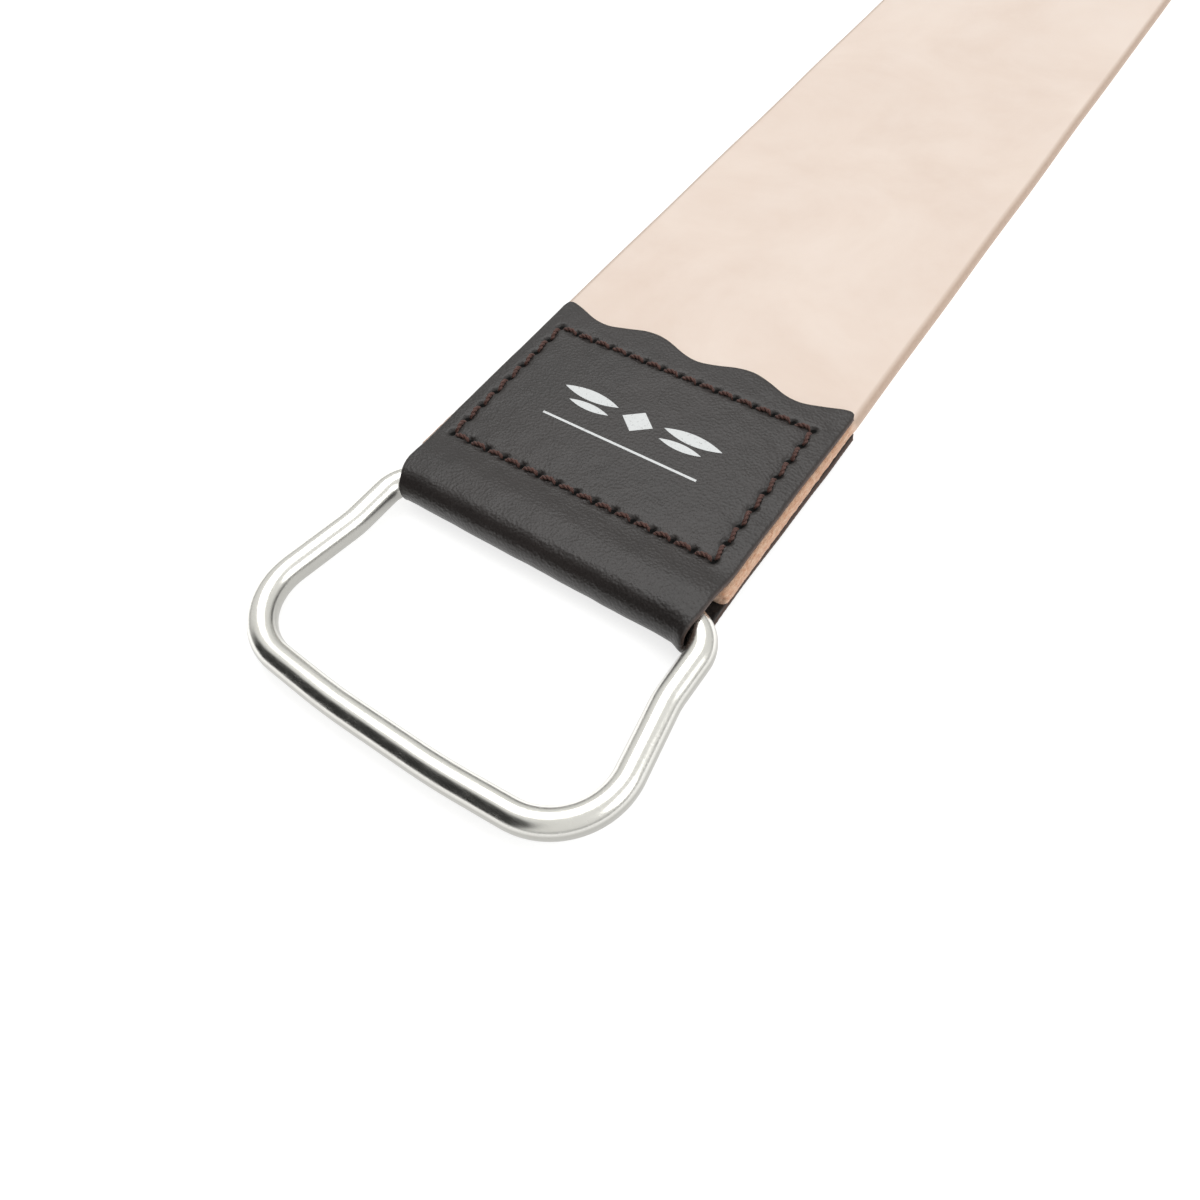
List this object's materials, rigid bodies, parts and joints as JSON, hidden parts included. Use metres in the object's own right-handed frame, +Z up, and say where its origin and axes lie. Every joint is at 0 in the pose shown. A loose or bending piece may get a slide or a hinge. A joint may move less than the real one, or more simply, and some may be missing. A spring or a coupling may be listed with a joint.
{
  "type": "leather strop",
  "caption": "Hanging leather strop: a flat pale strap between dark stitched tabs, with a waisted wire handle to pull it taut and a swivel snap hook to hang it.",
  "frame": {"origin": "under the middle of the whole strop, on the surface it lies on", "axes": "+Y along the strap from the handle to the hook, +X across the strap, +Z up out of the working face"},
  "size_m": [0.0682, 0.5806, 0.0112],
  "materials": {
    "strap_leather": "smooth natural vegetable-tanned, matte",
    "tab_leather": "fine-grained, dark brown, satin",
    "thread": "waxed twisted thread, dark red-brown",
    "nickel_wire": "polished nickel plate",
    "cast_nickel": "polished nickel plate on a casting",
    "bolt_steel": "turned and plated",
    "spring_steel": "bright spring wire"
  },
  "bodies": {
    "strop": {"strop_leather": "strap_leather", "handle_tab": "tab_leather", "handle_tab_top_thread": "thread", "handle_tab_bobbin_thread": "thread", "hanging_tab": "tab_leather", "hanging_tab_top_thread": "thread", "hanging_tab_bobbin_thread": "thread"},
    "handle": {"wire_handle": "nickel_wire"},
    "ring": {"hanging_ring": "nickel_wire"},
    "swivel": {"swivel_eye": "cast_nickel"},
    "snap": {"snap_body": "cast_nickel", "bolt_spring": "spring_steel"},
    "bolt": {"snap_bolt": "bolt_steel", "thumb_knob": "cast_nickel"}
  },
  "joints": [
    {"name": "handle_swing", "type": "hinge", "parent": "strop", "child": "handle", "pos_m": [0, -0.2495, 0.00365], "axis": [1, 0, 0], "range_deg": [-90, 90]},
    {"name": "ring_swing", "type": "hinge", "parent": "strop", "child": "ring", "pos_m": [0, 0.1973, 0.00365], "axis": [1, 0, 0], "range_deg": [-90, 90]},
    {"name": "eye_swing", "type": "hinge", "parent": "ring", "child": "swivel", "pos_m": [0, 0.2347, 0.0056], "axis": [1, 0, 0], "range_deg": [-85, 85]},
    {"name": "snap_swivel", "type": "hinge", "parent": "swivel", "child": "snap", "pos_m": [0, 0.2437, 0.0056], "axis": [0, 1, 0], "continuous": true},
    {"name": "bolt_slide", "type": "slide", "parent": "snap", "child": "bolt", "axis": [0, -1, 0], "range_m": [0, 0.0085], "stiffness_N_per_m": 300, "springref_m": -0.006, "deforming": ["bolt_spring"]}
  ]
}
